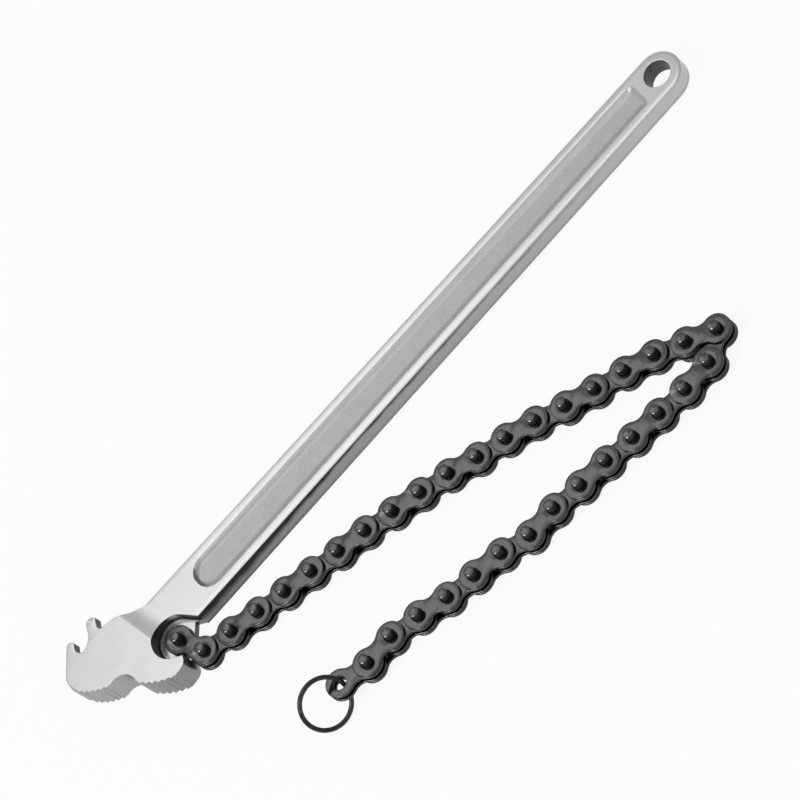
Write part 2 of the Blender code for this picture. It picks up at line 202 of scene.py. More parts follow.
# Noises: the usual span of their values, then grains per metre along a piece's axes and finer layers
noise_low = 0.3
noise_high = 0.7
polish_lines = ((60, 1500, 1500), 2)
polish_clouds = ((60, 60, 60), 4)
blasted_pits = ((1300, 1300, 1300), 4)
blasted_clouds = ((90, 90, 90), 3)
milled_marks = ((1100, 1100, 60), 3)
forge_scale = ((500, 500, 500), 5)
flank_ripple = ((60, 60, 500), 3)
flank_waves = ((110, 20, 20), 2)
oil_noises = ((420, 5), (2600, 3))

# Surfaces: depth of their fine relief, and where and how much the links' edges are worn
relief = 0.0001
edge_pointiness = (0.53, 0.62)
worn_share = 1.6

# Oiled steels: darkest and lightest colour, then lowest and highest roughness
oiled_face = ((0.115, 0.115, 0.12), (0.15, 0.15, 0.155), 0.12, 0.18)
# The sides are darker than the faces: painted shade on the chain's sides
shaded_oiled_side = ((0.055, 0.055, 0.057), (0.09, 0.09, 0.092), 0.50, 0.65)
oiled_wire = ((0.045, 0.045, 0.048), (0.08, 0.08, 0.083), 0.30, 0.45)

# Light: how bright the studio is at each height, then the lamps
sky_shares = ((0, 1), (0.05, 1), (0.12, 0.33), (0.75, 0.46), (0.86, 0.56), (1, 1.04))
front_share = 0.8
back_share = 1.2
key_place = Vector((-1.05, -0.3, 1.4))
key_size = 0.6
key_power = 10
softbox_place = Vector((-0.203, 0.897, 1.365))
softbox_aim = Vector((-0.0622, 0.049, 0.0147))
softbox_size = 0.54
softbox_power = 0.64
floor_glow = 0.9
floor_share = 3

# Camera: what it looks at is measured from the handle's own axis
camera_azimuth = 6.95
camera_elevation = 51.75
camera_roll = -53.31
camera_target = Vector((0.1432, -0.0120, 0.00735))
camera_distance = 1.8937
focal_pixels = 4346.7
picture_pixels = 800
sensor_width = 36
clip_share = 10

joints = {joint["child"]: joint for joint in frame["joints"]}


def joint_place(body):
    """Where a body hangs on the one before it."""
    return Vector(joints[body]["pos_m"])


def handle_origin():
    """The point on the floor that the handle's own sizes are measured from."""
    pin = joint_place("link_01")
    return Vector((pin.x, pin.y - anchor_y, 0))


# Materials
def node(tree, kind, **settings):
    """Adds a shader node and sets its values."""
    made = tree.nodes.new(kind)
    for name, value in settings.items():
        if hasattr(made, name):
            setattr(made, name, value)
        else:
            made.inputs[name.replace("_", " ")].default_value = value
    return made


def blank_material(name):
    """A material with just its Principled BSDF."""
    made = bpy.data.materials.new(name)
    made.use_nodes = True
    return made, made.node_tree, made.node_tree.nodes["Principled BSDF"]


def stretched_noise(tree, grains, layers):
    """Noise in the piece's own coordinates, which may be finer along one axis than another."""
    place = node(tree, "ShaderNodeTexCoord")
    mapping = node(tree, "ShaderNodeMapping")
    mapping.inputs["Scale"].default_value = grains
    noise = node(tree, "ShaderNodeTexNoise", Scale=1, Detail=layers)
    tree.links.new(place.outputs["Object"], mapping.inputs["Vector"])
    tree.links.new(mapping.outputs["Vector"], noise.inputs["Vector"])
    return noise.outputs["Fac"]


def piece_axes(tree):
    """Distances along the piece's own three axes."""
    place = node(tree, "ShaderNodeTexCoord")
    axes = node(tree, "ShaderNodeSeparateXYZ")
    tree.links.new(place.outputs["Object"], axes.inputs[0])
    return axes.outputs


def ramp(tree, source, low, high, start=noise_low, end=noise_high):
    """Turns a noise value into a colour or a grey between two values."""
    made = node(tree, "ShaderNodeValToRGB")
    made.color_ramp.elements[0].position = start
    made.color_ramp.elements[1].position = end
    made.color_ramp.elements[0].color = (*low, 1)
    made.color_ramp.elements[1].color = (*high, 1)
    tree.links.new(source, made.inputs["Fac"])
    return made.outputs["Color"]


def spread(tree, source, low, high, start=noise_low, end=noise_high):
    """Maps a noise value to a range of numbers."""
    made = node(tree, "ShaderNodeMapRange")
    made.inputs["From Min"].default_value = start
    made.inputs["From Max"].default_value = end
    made.inputs["To Min"].default_value = low
    made.inputs["To Max"].default_value = high
    tree.links.new(source, made.inputs["Value"])
    return made.outputs["Result"]


def blend_colour(tree, share, first, second):
    """Mixes two colours by a share."""
    mix = node(tree, "ShaderNodeMix", data_type="RGBA")
    tree.links.new(share, mix.inputs[0])
    tree.links.new(first, mix.inputs[6])
    mix.inputs[7].default_value = (*second, 1)
    return mix.outputs[2]


def math_node(tree, operation, *values):
    """A sum, or another operation, on sources and plain numbers."""
    made = node(tree, "ShaderNodeMath", operation=operation)
    for socket, value in zip(made.inputs, values):
        if isinstance(value, (int, float)):
            socket.default_value = value
        else:
            tree.links.new(value, socket)
    return made.outputs[0]


def finish_steel(tree, shader, colour, roughness, height, strength):
    """Makes a shader bare metal with a colour, a roughness and fine relief."""
    shader.inputs["Metallic"].default_value = 1
    tree.links.new(colour, shader.inputs["Base Color"])
    tree.links.new(roughness, shader.inputs["Roughness"])
    bump = node(tree, "ShaderNodeBump", Strength=strength, Distance=relief)
    tree.links.new(height, bump.inputs["Height"])
    tree.links.new(bump.outputs["Normal"], shader.inputs["Normal"])


def polished_steel():
    """Satin polish with very fine lines along the handle and faint clouds."""
    made, tree, shader = blank_material("polished_steel")
    lines = stretched_noise(tree, *polish_lines)
    clouds = stretched_noise(tree, *polish_clouds)
    colour = ramp(tree, clouds, (0.76, 0.76, 0.77), (0.82, 0.82, 0.83))
    roughness = spread(tree, lines, 0.24, 0.26)
    finish_steel(tree, shader, colour, roughness, lines, strength=0.0015)
    return made


def blasted_steel():
    """The sunk panel's matt floor, finely pitted by shot, with painted shade where it meets its rear wall.
    """
    made, tree, shader = blank_material("blasted_steel")
    pits = stretched_noise(tree, *blasted_pits)
    clouds = stretched_noise(tree, *blasted_clouds)
    axes = piece_axes(tree)
    offset = math_node(tree, "SUBTRACT", axes["Z"], head_thickness / 2)
    depth = math_node(tree, "ABSOLUTE", offset)
    floor = bar_thickness / 2 - panel_depth
    # Painted shade: darker at the floor's foot by the rear wall, fading along the bar
    corner = spread(tree, depth, 0, panel_shade_share, floor, floor + panel_shade_height)
    along = spread(tree, axes["X"], *panel_shade_run_shares, *panel_shade_run)
    behind = spread(tree, axes["Y"], 0, 1, -panel_rim, panel_rim)
    panel_shade = math_node(tree, "MULTIPLY", math_node(tree, "MULTIPLY", corner, along), behind)
    pitted = ramp(tree, pits, (0.55, 0.545, 0.555), (0.66, 0.655, 0.665))
    colour = blend_colour(tree, panel_shade, pitted, panel_shade_colour)
    roughness = spread(tree, clouds, 0.48, 0.58)
    finish_steel(tree, shader, colour, roughness, pits, strength=0.35)
    return made


def milled_steel():
    """Rough cut walls, such as the jaw's: tool marks from face to face, and darker towards the toe."""
    made, tree, shader = blank_material("milled_steel")
    marks = stretched_noise(tree, *milled_marks)
    toe_darkening = spread(tree, piece_axes(tree)["X"], *toe_darkening_shares, *toe_darkening_run)
    cut = ramp(tree, marks, (0.33, 0.33, 0.34), (0.46, 0.46, 0.47))
    colour = blend_colour(tree, toe_darkening, cut, toe_darkening_colour)
    roughness = spread(tree, marks, 0.32, 0.44)
    finish_steel(tree, shader, colour, roughness, marks, strength=0.12)
    return made


def dark_shaded_steel():
    """Unpolished walls of the pocket, the holes and the hooks: their dark colour is partly painted shade,
    where they lie in shadow.
    """
    made, tree, shader = blank_material("dark_shaded_steel")
    scale = stretched_noise(tree, *forge_scale)
    colour = ramp(tree, scale, (0.05, 0.05, 0.052), (0.11, 0.11, 0.112))
    roughness = spread(tree, scale, 0.34, 0.50)
    finish_steel(tree, shader, colour, roughness, scale, strength=0.2)
    return made


def shaded_flank_steel():
    """The bar's sides, in a darker grey steel that stands for painted shade: painted lighter along the bar,
    with a painted dark reflection under the edge that thins out along the bar, and a painted contact shadow
    below.
    """
    made, tree, shader = blank_material("shaded_flank_steel")
    axes = piece_axes(tree)
    along, height = axes["X"], axes["Z"]
    ripple = stretched_noise(tree, *flank_ripple)
    waves = spread(tree, stretched_noise(tree, *flank_waves), -dark_reflection_waves, dark_reflection_waves, 0, 1)
    # Painted reflection: darker near the head, lighter towards the far end
    brighter = spread(tree, along, 0, 1, *flank_light_run)
    painted_flank_light = ramp(tree, brighter, (0.20, 0.197, 0.20), (0.49, 0.48, 0.49), 0, 1)
    # Painted dark reflection: a near-black band under the top edge, with a wavy foot, thinning out along
    # the bar
    foot = math_node(tree, "ADD", spread(tree, along, *dark_reflection_foot, *dark_reflection_foot_run), waves)
    above = math_node(tree, "SUBTRACT", height, foot)
    edge = math_node(tree, "DIVIDE", above, spread(tree, along, *dark_reflection_fade, *dark_reflection_foot_run))
    thinner = spread(tree, along, 1, 0, *dark_reflection_run)
    cover = math_node(tree, "MULTIPLY", spread(tree, edge, 0, 1, 0, 1), thinner)
    with_dark_reflection = blend_colour(tree, cover, painted_flank_light, dark_reflection_colour)
    # Painted contact shadow: darker towards the bottom of the sides, most near the head
    contact_shadow = math_node(tree, "MULTIPLY", spread(tree, height, 1, 0, *contact_shadow_heights),
                     spread(tree, along, *contact_shadow_shares, *contact_shadow_run))
    colour = blend_colour(tree, contact_shadow, with_dark_reflection, contact_shadow_colour)
    roughness = spread(tree, ripple, 0.24, 0.34)
    finish_steel(tree, shader, colour, roughness, ripple, strength=0.05)
    return made


def oiled_steel(name, dark, light, rough_low, rough_high):
    """Blackened, oiled steel, mottled in its own way on each piece and a little brighter on its edges."""
    made, tree, shader = blank_material(name)
    place = node(tree, "ShaderNodeTexCoord")
    info = node(tree, "ShaderNodeObjectInfo")
    offset = node(tree, "ShaderNodeVectorMath", operation="ADD")
    tree.links.new(place.outputs["Object"], offset.inputs[0])
    tree.links.new(info.outputs["Random"], offset.inputs[1])
    noises = []
    for grains, layers in oil_noises:
        noise = node(tree, "ShaderNodeTexNoise", Scale=grains, Detail=layers)
        tree.links.new(offset.outputs["Vector"], noise.inputs["Vector"])
        noises.append(noise.outputs["Fac"])
    mottle, grain = noises
    base = ramp(tree, mottle, dark, light)
    geometry = node(tree, "ShaderNodeNewGeometry")
    wear = spread(tree, geometry.outputs["Pointiness"], 0, 1, *edge_pointiness)
    worn = [value * worn_share for value in light]
    colour = blend_colour(tree, wear, base, worn)
    roughness = spread(tree, mottle, rough_low, rough_high)
    finish_steel(tree, shader, colour, roughness, grain, strength=0.03)
    return made


# Meshes
def arc(centre, radius, start, end, steps):
    """Points on an arc between two angles in degrees, both ends included."""
    angles = [math.radians(start + (end - start) * step / steps) for step in range(steps + 1)]
    return [centre + radius * Vector((math.cos(angle), math.sin(angle))) for angle in angles]


def plate_loop(pitch, inset):
    """Outline of a link plate, drawn in by an inset."""
    half = pitch / 2
    waist = plate_waist / 2
    flank_radius = (half ** 2 + waist ** 2 - plate_radius ** 2) / (2 * (plate_radius - waist))
    flank_centre = flank_radius + waist
    lean = math.degrees(math.atan2(flank_centre, half))
    left = arc(Vector((0, 0)), plate_radius - inset, lean, 360 - lean, end_steps)
    right = arc(Vector((pitch, 0)), plate_radius - inset, lean - 180, 180 - lean, end_steps)
    lower = arc(Vector((half, -flank_centre)), flank_radius + inset, 180 - lean, lean, flank_steps)
    upper = arc(Vector((half, flank_centre)), flank_radius + inset, -lean, lean - 180, flank_steps)
    return left + lower[1:-1] + right + upper[1:-1]


def round_loop(x, radius):
    """A circle around a pin."""
    return arc(Vector((x, 0)), radius, 0, 360, round_sides)[:-1]


def quarter_turn(steps):
    """Angles from nought to a right angle, in equal steps."""
    return [math.pi / 2 * step / steps for step in range(steps + 1)]


def edge_profile(low, high, edge):
    """Heights and insets up a wall with rounded edges."""
    angles = quarter_turn(edge_steps)
    foot = [(low + edge * (1 - math.sin(a)), edge * (1 - math.cos(a))) for a in reversed(angles)]
    head = [(high - edge * (1 - math.sin(a)), edge * (1 - math.cos(a))) for a in angles]
    return foot + head


def bridge(mesh, rings):
    """Joins each ring of corners to the next with faces."""
    for below, above in zip(rings, rings[1:]):
        for i in range(len(below)):
            mesh.faces.new((below[i - 1], below[i], above[i], above[i - 1]))


def skin(mesh, loops):
    """Joins a stack of loops with faces. Returns the first and last ring of corners."""
    rings = [[mesh.verts.new((*point, height)) for point in loop] for loop, height in loops]
    bridge(mesh, rings)
    return rings[0], rings[-1]


def cap(mesh, rings):
    """Fills the flat region inside the first ring and outside the others."""
    edges = []
    for ring in rings:
        for ends in zip(ring[-1:] + ring[:-1], ring):
            edges.append(mesh.edges.get(ends) or mesh.edges.new(ends))
    bmesh.ops.triangle_fill(mesh, use_beauty=True, use_dissolve=False, edges=edges)


def finish_mesh(mesh, name, look, side_look=None, tilt=side_tilt):
    """Closes a mesh, shades its curves smooth and gives its faces and its sides their materials."""
    bmesh.ops.remove_doubles(mesh, verts=mesh.verts, dist=link_weld)
    bmesh.ops.recalc_face_normals(mesh, faces=mesh.faces)
    data = bpy.data.meshes.new(name)
    mesh.to_mesh(data)
    mesh.free()
    data.shade_smooth()
    data.set_sharp_from_angle(angle=math.radians(plate_crease))
    data.materials.append(look)
    if side_look:
        data.materials.append(side_look)
        for polygon in data.polygons:
            polygon.material_index = 0 if abs(polygon.normal.z) > tilt else 1
    return data


def placed(name, mesh):
    """Puts a mesh in the scene as it stands."""
    data = bpy.data.meshes.new(name)
    mesh.to_mesh(data)
    mesh.free()
    made = bpy.data.objects.new(name, data)
    bpy.context.scene.collection.objects.link(made)
    return made


def plate_on(mesh, pitch, low, high, holes):
    """A plate with rounded edges between two heights, with a hole at each end."""
    profile = edge_profile(low, high, plate_edge)
    walls = [skin(mesh, [(plate_loop(pitch, inset), height) for height, inset in profile])]
    profile = edge_profile(low, high, hole_edge)
    for x, radius in holes:
        walls.append(skin(mesh, [(round_loop(x, radius + inset), height) for height, inset in profile]))
    cap(mesh, [bottom for bottom, _ in walls])
    cap(mesh, [top for _, top in walls])


def lathe(mesh, x, profile):
    """A solid turned around a pin's axis, with a radius for each height from its foot to its tip."""
    first, last = skin(mesh, [(round_loop(x, radius), height) for height, radius in profile])
    mesh.faces.new(first)
    mesh.faces.new(last)


def tube(mesh, x, inner, outer, low, high):
    """A bush around a pin."""
    loops = [(inner, low), (outer, low), (outer, high), (inner, high), (inner, low)]
    skin(mesh, [(round_loop(x, radius), height) for radius, height in loops])


def chain_heights():
    """Heights of the chain's faces from its middle plane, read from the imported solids."""
    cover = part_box("cover_plate_01")
    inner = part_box("inner_link_02")
    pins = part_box("pin_link_01")
    middle = (inner[0][2] + inner[1][2]) / 2
    return {"middle": middle, "plate": cover[1][2] - cover[0][2], "top": cover[1][2] - middle,
            "inner_top": inner[1][2] - middle, "pin_top": pins[1][2] - middle,
            "foot": pins[0][2] - middle}


def pin_mesh(pitch, heights, looks):
    """A link's two pins: riveted feet, plain shanks and chamfered tips."""
    mesh = bmesh.new()
    foot, top = heights["foot"], heights["pin_top"]
    profile = [(foot, pin_radius - pin_chamfer), (foot + pin_chamfer / 2, pin_radius),
               (-heights["top"], pin_radius)]
    for down, inset in pin_tip_shares:
        profile.append((top - pin_chamfer * down, pin_radius - pin_chamfer * inset))
    for x in (0, pitch):
        lathe(mesh, x, profile)
    return finish_mesh(mesh, "pins", *looks)


def outer_plate_mesh(pitch, low, high, looks, name):
    """One outer plate around two pins."""
    mesh = bmesh.new()
    plate_on(mesh, pitch, low, high, [(0, hole_radius), (pitch, hole_radius)])
    return finish_mesh(mesh, name, *looks, rim_tilt)


def inner_link_mesh(pitch, heights, looks, name, end_hole=None):
    """Two inner plates and the bushes between them."""
    mesh = bmesh.new()
    top = heights["inner_top"]
    holes = [(0, hole_radius), (pitch, end_hole or hole_radius)]
    for low, high in ((-top, heights["plate"] - top), (top - heights["plate"], top)):
        plate_on(mesh, pitch, low, high, holes)
    for x in (0, pitch)[:1 if end_hole else 2]:
        tube(mesh, x, hole_radius, bush_radius, heights["plate"] - top, top - heights["plate"])
    return finish_mesh(mesh, name, *looks, rim_tilt)


def add_piece(name, data, body, place, instead_of=()):
    """Adds a turned copy of a mesh at its place, as a piece that moves with a body of the model."""
    own = data.copy()
    own.transform(place.to_3x3().to_4x4())
    made = bpy.data.objects.new(name, own)
    made.matrix_world = Matrix.Translation(place.translation)
    bpy.context.scene.collection.objects.link(made)
    if instead_of:
        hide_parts(*instead_of)
    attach(made, body)
    return made


def link_place(number):
    """A link's own axes: along its pins, across them, and up its first pin."""
    following = f"link_{number + 1:02d}" if number < link_count else "ring"
    start = joint_place(f"link_{number:02d}")
    ahead = (joint_place(following) - start).normalized()
    across = Vector((0, 0, 1)).cross(ahead).normalized()
    up = ahead.cross(across)
    axes = Matrix((ahead, across, up)).transposed()
    return Matrix.Translation(start) @ axes.to_4x4()


def make_chain():
    """Every link, from the same few meshes."""
    heights = chain_heights()
    pitch = (joint_place("link_02") - joint_place("link_01")).length
    top, plate = heights["top"], heights["plate"]
    # The sides take the darker oiled steel, as painted shade
    looks = (oiled_steel("oiled_face", *oiled_face), oiled_steel("shaded_oiled_side", *shaded_oiled_side))
    pins = pin_mesh(pitch, heights, looks)
    cover = outer_plate_mesh(pitch, top - plate, top, looks, "cover_plate")
    base = outer_plate_mesh(pitch, -top, plate - top, looks, "base_plate")
    inner = inner_link_mesh(pitch, heights, looks, "inner_plates")
    last = inner_link_mesh(pitch, heights, looks, "last_plates", ring_hole_radius)
    for number in range(1, link_count + 1):
        body = f"link_{number:02d}"
        place = link_place(number)
        if number % 2:
            add_piece(f"pins_{number:02d}", pins, body, place,
                      [f"pin_link_{number:02d}"])
            add_piece(f"base_plate_{number:02d}", base, body, place)
            add_piece(f"top_plate_{number:02d}", cover, body, place,
                      [f"cover_plate_{number:02d}"])
        else:
            data = last if number == link_count else inner
            add_piece(f"inner_plates_{number:02d}", data, body, place,
                      [f"inner_link_{number:02d}"])


def ring_place():
    """Centre and axes of the ring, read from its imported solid."""
    solid = frame["nodes"]["end_ring"]
    points = [solid.matrix_world @ vertex.co for vertex in solid.data.vertices]
    centre = sum(points, Vector()) / len(points)
    first = points[0] - centre
    normal = Vector()
    for a, b in zip(points, points[ring_point_step:]):
        turned = (a - centre).cross(b - centre)
        normal += turned if turned.dot(normal) >= 0 else -turned
    normal.normalize()
    first = (first - normal * first.dot(normal)).normalized()
    axes = Matrix((first, normal.cross(first), normal)).transposed()
    return Matrix.Translation(centre) @ axes.to_4x4()


def make_ring():
    """The wire ring."""
    mesh = bmesh.new()
    middle = (ring_diameter - ring_wire) / 2
    hoops = []
    for point in arc(Vector((0, 0)), middle, 0, 360, ring_steps)[:-1]:
        outward = point.normalized()
        section = arc(Vector((0, 0)), ring_wire / 2, 0, 360, wire_sides)[:-1]
        hoops.append([mesh.verts.new((*(point + offset.x * outward), offset.y)) for offset in section])
    bridge(mesh, hoops + hoops[:1])
    data = finish_mesh(mesh, "wire_ring", oiled_steel("blackened_wire", *oiled_wire))
    add_piece("wire_ring", data, "ring", ring_place(), ["end_ring"])


# Handle
def smoothed(points, rounds):
    """Cuts the corners of an open run of points, again and again, so that it reads as a curve."""
    for _ in range(rounds):
        cut = [points[0]]
        for here, there in zip(points, points[1:]):
            cut += [here.lerp(there, corner_cut), here.lerp(there, 1 - corner_cut)]
        points = cut + [points[-1]]
    return points


def half_width(x):
    """Half the bar's width at a distance along it."""
    share = x / hang_hole_x
    return neck_width / 2 * (1 - share) + end_radius * share


def toothed_run(start, end):
    """A slightly bulging row of teeth: valleys and tips in turn."""
    run = end - start
    out = Vector((run.y, -run.x)).normalized()
    points = []
    for step in range(2 * tooth_count + 1):
        share = step / (2 * tooth_count)
        bulge = jaw_bulge * (1 - (2 * share - 1) ** 2)
        depth = 0 if step % 2 else tooth_depth
        points.append(start + run * share + out * (bulge - depth))
    return points


def pipe_groove():
    """The round groove between the two rows of teeth."""
    chord = front_teeth[0] - rear_teeth[1]
    out = Vector((chord.y, -chord.x)).normalized()
    drop = math.sqrt(groove_radius ** 2 - (chord.length / 2) ** 2)
    centre = (rear_teeth[1] + front_teeth[0]) / 2 + out * drop
    first = math.degrees(math.atan2(*(rear_teeth[1] - centre).yx))
    last = math.degrees(math.atan2(*(front_teeth[0] - centre).yx))
    return arc(centre, groove_radius, first, last, groove_steps)[1:-1]


def lug_run():
    """The round lug that the chain's first pin goes through, and the web's straight front edge."""
    pin = Vector((0, anchor_y))
    front = web_corner - pin
    last = math.degrees(math.atan2(front.y, front.x) - math.acos(lug_radius / front.length))
    return [web_root] + arc(pin, lug_radius, lug_start, last, lug_steps) + [web_corner]


def head_outline():
    """The head in plan, and how widely each of its corners is rounded at the faces."""
    top = smoothed(list(shoulder_points) + list(hook_points) + list(heel_points), outline_rounds)
    teeth = toothed_run(*rear_teeth) + pipe_groove() + toothed_run(*front_teeth)
    toe = smoothed([front_teeth[1]] + list(toe_points), outline_rounds)[1:]
    inside = lug_run() + [neck_corner, Vector((neck_corner.x, 0))]
    edges = [hook_edge] * len(top) + [tooth_edge] * len(teeth) + [toe_edge] * len(toe)
    return top + teeth + toe + inside, edges + [0] * len(inside)


def bar_outline():
    """The bar in plan. Its corners inside the head stay sharp."""
    end = Vector((hang_hole_x, 0))
    inside = [Vector((shoulder_points[3].x, slope_line[1].y)),
              Vector((web_root.x, pocket_radius + anchor_y))]
    neck = [Vector((neck_corner.x, -half_width(neck_corner.x)))]
    rim = arc(end, end_radius, -90, 90, bar_end_steps)
    shoulder = smoothed(list(shoulder_points[:4]), outline_rounds)
    outline = inside + neck + rim + shoulder
    edges = [0] * len(inside) + [bar_edge_near] + [bar_edge_far] * len(rim)
    edges += [bar_edge_near] * (len(shoulder) - 1) + [0]
    return outline, edges


def pocket_outline():
    """The room for the first link: round behind the pin, open in front of it."""
    pin = Vector((0, anchor_y))
    above = neck_corner - pin
    below = toe_points[-1] - pin
    upper = math.degrees(math.atan2(above.y, above.x) + math.acos(pocket_radius / above.length))
    lower = math.degrees(math.atan2(below.y, below.x)) % 360
    lower -= math.degrees(math.acos(min(1, pocket_radius / below.length)))
    bend = arc(pin, pocket_radius, upper, lower, pocket_steps)
    upper_exit = neck_corner + (neck_corner - bend[0]).normalized() * pocket_radius
    lower_exit = toe_points[-1] + (toe_points[-1] - bend[-1]).normalized() * pocket_radius
    return [upper_exit] + bend + [lower_exit]


def panel_outline():
    """The sunk panel: round at the head and square, with small corners, at the far end."""
    start = half_width(panel_start_x) - panel_rim
    end = half_width(panel_end_x) - panel_rim - panel_corner
    near = arc(Vector((panel_start_x, 0)), start, 90, 270, bar_end_steps)
    lower = arc(Vector((panel_end_x - panel_corner, -end)), panel_corner, -90, 0, corner_steps)
    upper = arc(Vector((panel_end_x - panel_corner, end)), panel_corner, 0, 90, corner_steps)
    return near + lower + upper


def panel_slopes(outline):
    """Half the width of the panel's slope at each corner, narrow at its near end only."""
    widest = max(point.y for point in outline)
    slopes = []
    for point in outline:
        share = min(1, abs(point.y) / widest / side_share)
        near = panel_near_slope * (1 - share) + panel_side_slope * share
        slopes.append(near if point.x <= panel_start_x else panel_far_slope)
    return slopes


def inward(outline):
    """For each corner, the way into the solid, long enough to move both its edges by one."""
    area = sum(a.x * b.y - b.x * a.y for a, b in zip(outline, outline[1:] + outline[:1]))
    side = 1 if area > 0 else -1
    ways = []
    for i, here in enumerate(outline):
        before = (here - outline[i - 1]).normalized()
        after = (outline[(i + 1) % len(outline)] - here).normalized()
        first = side * Vector((-before.y, before.x))
        both = first + side * Vector((-after.y, after.x))
        both = both.normalized() if both.length else first
        ways.append(both / max(both.dot(first), miter_limit))
    return ways


def rise(outline, rows):
    """A solid through a stack of rows: each row gives every corner its height and its inset."""
    ways = inward(outline)
    mesh = bmesh.new()
    rings = []
    for row in rows:
        rings.append([mesh.verts.new((*(point + way * inset), height))
                      for point, way, (height, inset) in zip(outline, ways, row)])
    bridge(mesh, rings)
    cap(mesh, [rings[0]])
    cap(mesh, [rings[-1]])
    bmesh.ops.remove_doubles(mesh, verts=mesh.verts, dist=solid_weld)
    bmesh.ops.recalc_face_normals(mesh, faces=mesh.faces)
    return mesh


def rounded_solid(name, outline, edges, low, high, steps, crowned=False):
    """A straight-sided solid with round edges, whose faces may be crowned next to them."""
    first, last = (math.radians(turn) for turn in (bar_edge_turns if crowned else (0, 90)))
    drop = crown_drop if crowned else 0
    rows = []
    for step in range(steps + 1):
        turn = first + (last - first) * step / steps
        rows.append([(high - (drop if edge else 0) - edge * (math.sin(last) - math.sin(turn)),
                      edge * (math.cos(first) - math.cos(turn))) for edge in edges])
    ends = rows[-1]
    for step in range(1, crown_steps + 1 if crowned else 1):
        share = step / crown_steps
        height = high - crown_drop * (1 - share) ** 2
        rows.append([(height, inset + crown_width * share) if edge else (high, 0)
                     for edge, (_, inset) in zip(edges, ends)])
    feet = [[(low + high - height, inset) for height, inset in row] for row in reversed(rows)]
    return placed(name, rise(outline, feet + rows))


def recess(name, outline, floor, face, fillet, rim, upward=True):
    """A cutter for a recess with a filleted floor and a rounded rim, open above or below."""
    turns = quarter_turn(recess_steps)
    up = 1 if upward else -1
    rows = [(floor + up * fillet.y * (1 - math.cos(turn)), fillet.x * (1 - math.sin(turn)))
            for turn in turns]
    rows += [(face - up * rim.y * (1 - math.sin(turn)), -rim.x * (1 - math.cos(turn)))
             for turn in turns]
    rows.append((face + up * cut_overrun, -rim.x))
    return placed(name, rise(outline, [[row] * len(outline) for row in rows]))


def dish(name, outline, slopes, floor, face):
    """A cutter for a panel that sinks from a face to its floor in a soft double curve."""
    rows = []
    for step in range(panel_slope_steps + 1):
        share = step / panel_slope_steps
        height = floor + (face - floor) * share ** 2 * (3 - 2 * share)
        reach = (1 - 2 * share) * (inner_slope_share if share < fold_share else outer_slope_share)
        rows.append([(height, slope * reach) for slope in slopes])
    above = face + math.copysign(cut_overrun, face - floor)
    rows.append([(above, inset) for _, inset in rows[-1]])
    return placed(name, rise(outline, rows))


def hole(name, centre, radius, low, high, rim):
    """A cutter for a round hole with rounded rims at both faces."""
    turns = quarter_turn(edge_steps)
    upper = [(high - rim * (1 - math.sin(turn)), -rim * (1 - math.cos(turn))) for turn in turns]
    upper.append((high + cut_overrun, -rim))
    rows = [(low + high - height, inset) for height, inset in reversed(upper)] + upper
    outline = arc(centre, radius, 0, 360, hang_steps)[:-1]
    return placed(name, rise(outline, [[row] * len(outline) for row in rows]))


def slope_cutter(name, upward):
    """The wedge above the hollow slope that runs from the head's face down to the bar's."""
    first, last = slope_line
    along = (first - last).normalized()
    ahead = Vector((along.y, -along.x))
    first, last = first + along * head_thickness, last - along * head_thickness
    step = (head_thickness - bar_thickness) / 2 + bar_overlap
    steepest = step * slope_power / slope_run
    profile = [(-slope_crest, -cut_overrun)]
    for i in range(slope_steps + 1):
        reach = -slope_crest + (slope_run + slope_crest) * i / slope_steps
        if reach < slope_crest:
            drop = steepest * (reach + slope_crest) ** 2 / (4 * slope_crest)
        else:
            drop = step * (1 - max(0, 1 - reach / slope_run) ** slope_power)
        profile.append((reach, drop))
    profile += [(hang_hole_x, step), (hang_hole_x, -cut_overrun)]
    mesh = bmesh.new()
    ends = []
    for root in (last, first):
        ends.append([])
        for reach, drop in profile:
            height = head_thickness - drop if upward else drop
            ends[-1].append(mesh.verts.new((*(root + ahead * reach), height)))
        mesh.faces.new(ends[-1])
    bridge(mesh, ends)
    bmesh.ops.recalc_face_normals(mesh, faces=mesh.faces)
    return placed(name, mesh)


def paint(solid, looks, choose=lambda face: 0):
    """Gives each face of a solid the first finish, or the one whose place in the list a rule picks."""
    for look in looks:
        solid.data.materials.append(look)
    for polygon in solid.data.polygons:
        polygon.material_index = int(choose(polygon))
    return solid


def is_wall(face):
    """Whether a face stands upright."""
    return abs(face.normal.z) < wall_tilt


def head_finish(face):
    """The head's faces are polished, its jaw is milled, and its hooks' and web's walls take the dark steel,
    partly painted shade.
    """
    middle = face.center
    inner = middle.y > shoulder_points[1].y or middle.x > web_root.x and middle.y > toe_points[-1].y
    return (2 if inner else 1) if is_wall(face) else 0


def panel_finish(floor, mouth):
    """A rule for the panel: blasted floor and far wall, polished mouth, and a rough near wall."""
    halfway = (floor + mouth) / 2

    def choose(face):
        low = (face.center.z - halfway) * (mouth - floor) < 0
        steep = abs(face.normal.z) < steep_tilt
        far = face.center.x > panel_end_x - panel_corner
        return 2 if steep and face.center.x < panel_start_x - panel_rim else int(low or far)
    return choose


def chain_room():
    """A cutter for the room that the chain runs through below the hooks."""
    way = list(chain_way)
    way += [way[-1] + Vector((0, chain_way_reach)), way[0] + Vector((0, chain_way_reach))]
    return rounded_solid("chain_way", way, [0] * len(way), -cut_overrun, head_thickness - hook_thickness, 1)


